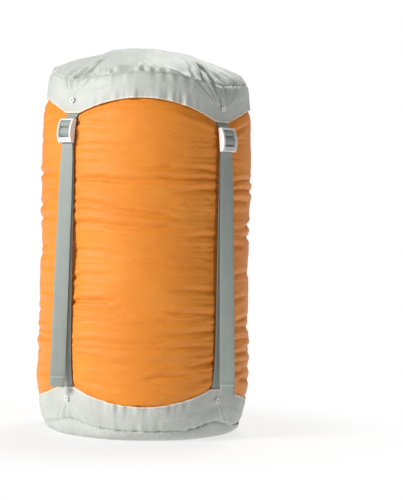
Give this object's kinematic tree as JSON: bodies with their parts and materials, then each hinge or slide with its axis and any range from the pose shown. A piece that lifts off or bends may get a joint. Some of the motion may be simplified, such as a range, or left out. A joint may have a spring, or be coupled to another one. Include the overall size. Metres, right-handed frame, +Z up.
{
  "type": "compression sack",
  "caption": "Stuffed cylindrical fabric sack with domed lid and base caps, webbing straps through ladder-lock buckles that draw the lid down, and a drawcord mouth under the lid.",
  "frame": {"origin": "centre of the base, on the ground", "axes": "+Z up along the sack's axis; -Y is the front, between two straps; +X is the side the lid leans down to"},
  "size_m": [0.2314, 0.2314, 0.4188],
  "materials": {
    "orange_ripstop": "orange ripstop nylon, slight sheen",
    "grey_ripstop": "silver-grey ripstop nylon, slight sheen",
    "edge_tape": "light woven tape",
    "grey_webbing": "flat woven webbing",
    "buckle_plastic": "pale grey acetal",
    "white_eyelet": "white enamel",
    "cord": "braided cord",
    "cord_lock_plastic": "dark moulded plastic",
    "spring_steel": "bright wire"
  },
  "bodies": {
    "base": {"base_disc": "grey_ripstop", "base_piping": "edge_tape", "base_skirt": "grey_ripstop", "base_binding": "edge_tape", "base_rivets": "white_eyelet", "sack_body": "orange_ripstop", "load_strap_rear_right": "grey_webbing", "load_strap_rear_left": "grey_webbing", "load_strap_front_left": "grey_webbing", "load_strap_front_right": "grey_webbing"},
    "mouth": {"mouth_collar": "orange_ripstop", "drawcord": "cord", "cord_end_sleeve": "cord_lock_plastic"},
    "cord_lock": {"cord_lock_barrel": "cord_lock_plastic", "cord_lock_spring": "spring_steel"},
    "cord_lock_button": {"cord_lock_plunger": "cord_lock_plastic"},
    "lid": {"lid_crown": "grey_ripstop", "lid_piping": "edge_tape", "lid_skirt": "grey_ripstop", "lid_binding": "edge_tape", "lid_rivets": "white_eyelet", "lid_tab_rear_right": "grey_webbing", "lid_tab_rear_left": "grey_webbing", "lid_tab_front_left": "grey_webbing", "lid_tab_front_right": "grey_webbing"},
    "buckle_rear_right": {"buckle_rear_right": "buckle_plastic", "strap_wrap_rear_right": "grey_webbing"},
    "tail_top_rear_right": {"tail_top_rear_right": "grey_webbing"},
    "tail_swing_rear_right": {"tail_swing_rear_right": "grey_webbing"},
    "tail_pull_rear_right": {"tail_rear_right": "grey_webbing"},
    "tail_end_rear_right": {"tail_hem_rear_right": "grey_webbing"},
    "buckle_rear_left": {"buckle_rear_left": "buckle_plastic", "strap_wrap_rear_left": "grey_webbing"},
    "tail_top_rear_left": {"tail_top_rear_left": "grey_webbing"},
    "tail_swing_rear_left": {"tail_swing_rear_left": "grey_webbing"},
    "tail_pull_rear_left": {"tail_rear_left": "grey_webbing"},
    "tail_end_rear_left": {"tail_hem_rear_left": "grey_webbing"},
    "buckle_front_left": {"buckle_front_left": "buckle_plastic", "strap_wrap_front_left": "grey_webbing"},
    "tail_top_front_left": {"tail_top_front_left": "grey_webbing"},
    "tail_swing_front_left": {"tail_swing_front_left": "grey_webbing"},
    "tail_pull_front_left": {"tail_front_left": "grey_webbing"},
    "tail_end_front_left": {"tail_hem_front_left": "grey_webbing"},
    "buckle_front_right": {"buckle_front_right": "buckle_plastic", "strap_wrap_front_right": "grey_webbing"},
    "tail_top_front_right": {"tail_top_front_right": "grey_webbing"},
    "tail_swing_front_right": {"tail_swing_front_right": "grey_webbing"},
    "tail_pull_front_right": {"tail_front_right": "grey_webbing"},
    "tail_end_front_right": {"tail_hem_front_right": "grey_webbing"}
  },
  "joints": [
    {"name": "compression", "type": "slide", "parent": "base", "child": "mouth", "axis": [0, 0, 1], "range_m": [-0.11, 0], "deforming": ["sack_body", "load_strap_rear_right", "load_strap_rear_left", "load_strap_front_left", "load_strap_front_right"]},
    {"name": "lid_lift", "type": "slide", "parent": "mouth", "child": "lid", "axis": [0, 0, 1], "range_m": [0, 0.12], "deforming": ["load_strap_rear_right", "load_strap_rear_left", "load_strap_front_left", "load_strap_front_right"]},
    {"name": "cord_lock_slide", "type": "slide", "parent": "mouth", "child": "cord_lock", "axis": [0, -1, 0], "range_m": [0, 0.03]},
    {"name": "cord_lock_press", "type": "slide", "parent": "cord_lock", "child": "cord_lock_button", "axis": [1, 0, 0], "range_m": [0, 0.0035], "stiffness_N_per_m": 600, "springref_m": -0.002, "deforming": ["cord_lock_spring"]},
    {"name": "buckle_tilt_rear_right", "type": "hinge", "parent": "lid", "child": "buckle_rear_right", "pos_m": [0.08448, 0.08448, 0.32566], "axis": [0.7071, -0.7071, 0], "range_deg": [0, 45], "deforming": ["lid_tab_rear_right", "load_strap_rear_right"]},
    {"name": "tail_hang_rear_right", "type": "hinge", "parent": "buckle_rear_right", "child": "tail_top_rear_right", "pos_m": [0.0843, 0.0843, 0.30558], "axis": [0.7071, -0.7071, 0], "range_deg": [-46, 1]},
    {"name": "tail_draw_out_rear_right", "type": "hinge", "parent": "tail_top_rear_right", "child": "tail_swing_rear_right", "pos_m": [0.08459, 0.08459, 0.29259], "axis": [0.7071, -0.7071, 0], "range_deg": [-1, 73]},
    {"name": "tail_payout_rear_right", "type": "slide", "parent": "tail_swing_rear_right", "child": "tail_pull_rear_right", "axis": [0.0222, 0.0222, -0.9995], "range_m": [-0.001, 0.111]},
    {"name": "tail_take_up_rear_right", "type": "slide", "parent": "tail_pull_rear_right", "child": "tail_end_rear_right", "axis": [-0.0222, -0.0222, 0.9995], "range_m": [-0.001, 0.121], "deforming": ["tail_rear_right"]},
    {"name": "buckle_tilt_rear_left", "type": "hinge", "parent": "lid", "child": "buckle_rear_left", "pos_m": [-0.08448, 0.08448, 0.33181], "axis": [0.7071, 0.7071, 0], "range_deg": [0, 45], "deforming": ["lid_tab_rear_left", "load_strap_rear_left"]},
    {"name": "tail_hang_rear_left", "type": "hinge", "parent": "buckle_rear_left", "child": "tail_top_rear_left", "pos_m": [-0.0843, 0.0843, 0.31173], "axis": [0.7071, 0.7071, 0], "range_deg": [-46, 1]},
    {"name": "tail_draw_out_rear_left", "type": "hinge", "parent": "tail_top_rear_left", "child": "tail_swing_rear_left", "pos_m": [-0.08459, 0.08459, 0.29874], "axis": [0.7071, 0.7071, 0], "range_deg": [-1, 73]},
    {"name": "tail_payout_rear_left", "type": "slide", "parent": "tail_swing_rear_left", "child": "tail_pull_rear_left", "axis": [-0.0222, 0.0222, -0.9995], "range_m": [-0.001, 0.111]},
    {"name": "tail_take_up_rear_left", "type": "slide", "parent": "tail_pull_rear_left", "child": "tail_end_rear_left", "axis": [0.0222, -0.0222, 0.9995], "range_m": [-0.001, 0.121], "deforming": ["tail_rear_left"]},
    {"name": "buckle_tilt_front_left", "type": "hinge", "parent": "lid", "child": "buckle_front_left", "pos_m": [-0.08448, -0.08448, 0.33181], "axis": [-0.7071, 0.7071, 0], "range_deg": [0, 45], "deforming": ["lid_tab_front_left", "load_strap_front_left"]},
    {"name": "tail_hang_front_left", "type": "hinge", "parent": "buckle_front_left", "child": "tail_top_front_left", "pos_m": [-0.0843, -0.0843, 0.31173], "axis": [-0.7071, 0.7071, 0], "range_deg": [-46, 1]},
    {"name": "tail_draw_out_front_left", "type": "hinge", "parent": "tail_top_front_left", "child": "tail_swing_front_left", "pos_m": [-0.08459, -0.08459, 0.29874], "axis": [-0.7071, 0.7071, 0], "range_deg": [-1, 73]},
    {"name": "tail_payout_front_left", "type": "slide", "parent": "tail_swing_front_left", "child": "tail_pull_front_left", "axis": [-0.0222, -0.0222, -0.9995], "range_m": [-0.001, 0.111]},
    {"name": "tail_take_up_front_left", "type": "slide", "parent": "tail_pull_front_left", "child": "tail_end_front_left", "axis": [0.0222, 0.0222, 0.9995], "range_m": [-0.001, 0.121], "deforming": ["tail_front_left"]},
    {"name": "buckle_tilt_front_right", "type": "hinge", "parent": "lid", "child": "buckle_front_right", "pos_m": [0.08448, -0.08448, 0.32566], "axis": [-0.7071, -0.7071, 0], "range_deg": [0, 45], "deforming": ["lid_tab_front_right", "load_strap_front_right"]},
    {"name": "tail_hang_front_right", "type": "hinge", "parent": "buckle_front_right", "child": "tail_top_front_right", "pos_m": [0.0843, -0.0843, 0.30558], "axis": [-0.7071, -0.7071, 0], "range_deg": [-46, 1]},
    {"name": "tail_draw_out_front_right", "type": "hinge", "parent": "tail_top_front_right", "child": "tail_swing_front_right", "pos_m": [0.08459, -0.08459, 0.29259], "axis": [-0.7071, -0.7071, 0], "range_deg": [-1, 73]},
    {"name": "tail_payout_front_right", "type": "slide", "parent": "tail_swing_front_right", "child": "tail_pull_front_right", "axis": [0.0222, -0.0222, -0.9995], "range_m": [-0.001, 0.111]},
    {"name": "tail_take_up_front_right", "type": "slide", "parent": "tail_pull_front_right", "child": "tail_end_front_right", "axis": [-0.0222, 0.0222, 0.9995], "range_m": [-0.001, 0.121], "deforming": ["tail_front_right"]}
  ],
  "couplings": [
    {"joint": "tail_hang_rear_right", "follows": "buckle_tilt_rear_right", "ratio": -1},
    {"joint": "tail_draw_out_rear_right", "follows": "compression", "rad_per_m": -11.424},
    {"joint": "tail_payout_rear_right", "follows": "compression", "ratio": -1},
    {"joint": "tail_take_up_rear_right", "follows": "lid_lift", "ratio": 1},
    {"joint": "tail_hang_rear_left", "follows": "buckle_tilt_rear_left", "ratio": -1},
    {"joint": "tail_draw_out_rear_left", "follows": "compression", "rad_per_m": -11.424},
    {"joint": "tail_payout_rear_left", "follows": "compression", "ratio": -1},
    {"joint": "tail_take_up_rear_left", "follows": "lid_lift", "ratio": 1},
    {"joint": "tail_hang_front_left", "follows": "buckle_tilt_front_left", "ratio": -1},
    {"joint": "tail_draw_out_front_left", "follows": "compression", "rad_per_m": -11.424},
    {"joint": "tail_payout_front_left", "follows": "compression", "ratio": -1},
    {"joint": "tail_take_up_front_left", "follows": "lid_lift", "ratio": 1},
    {"joint": "tail_hang_front_right", "follows": "buckle_tilt_front_right", "ratio": -1},
    {"joint": "tail_draw_out_front_right", "follows": "compression", "rad_per_m": -11.424},
    {"joint": "tail_payout_front_right", "follows": "compression", "ratio": -1},
    {"joint": "tail_take_up_front_right", "follows": "lid_lift", "ratio": 1}
  ]
}
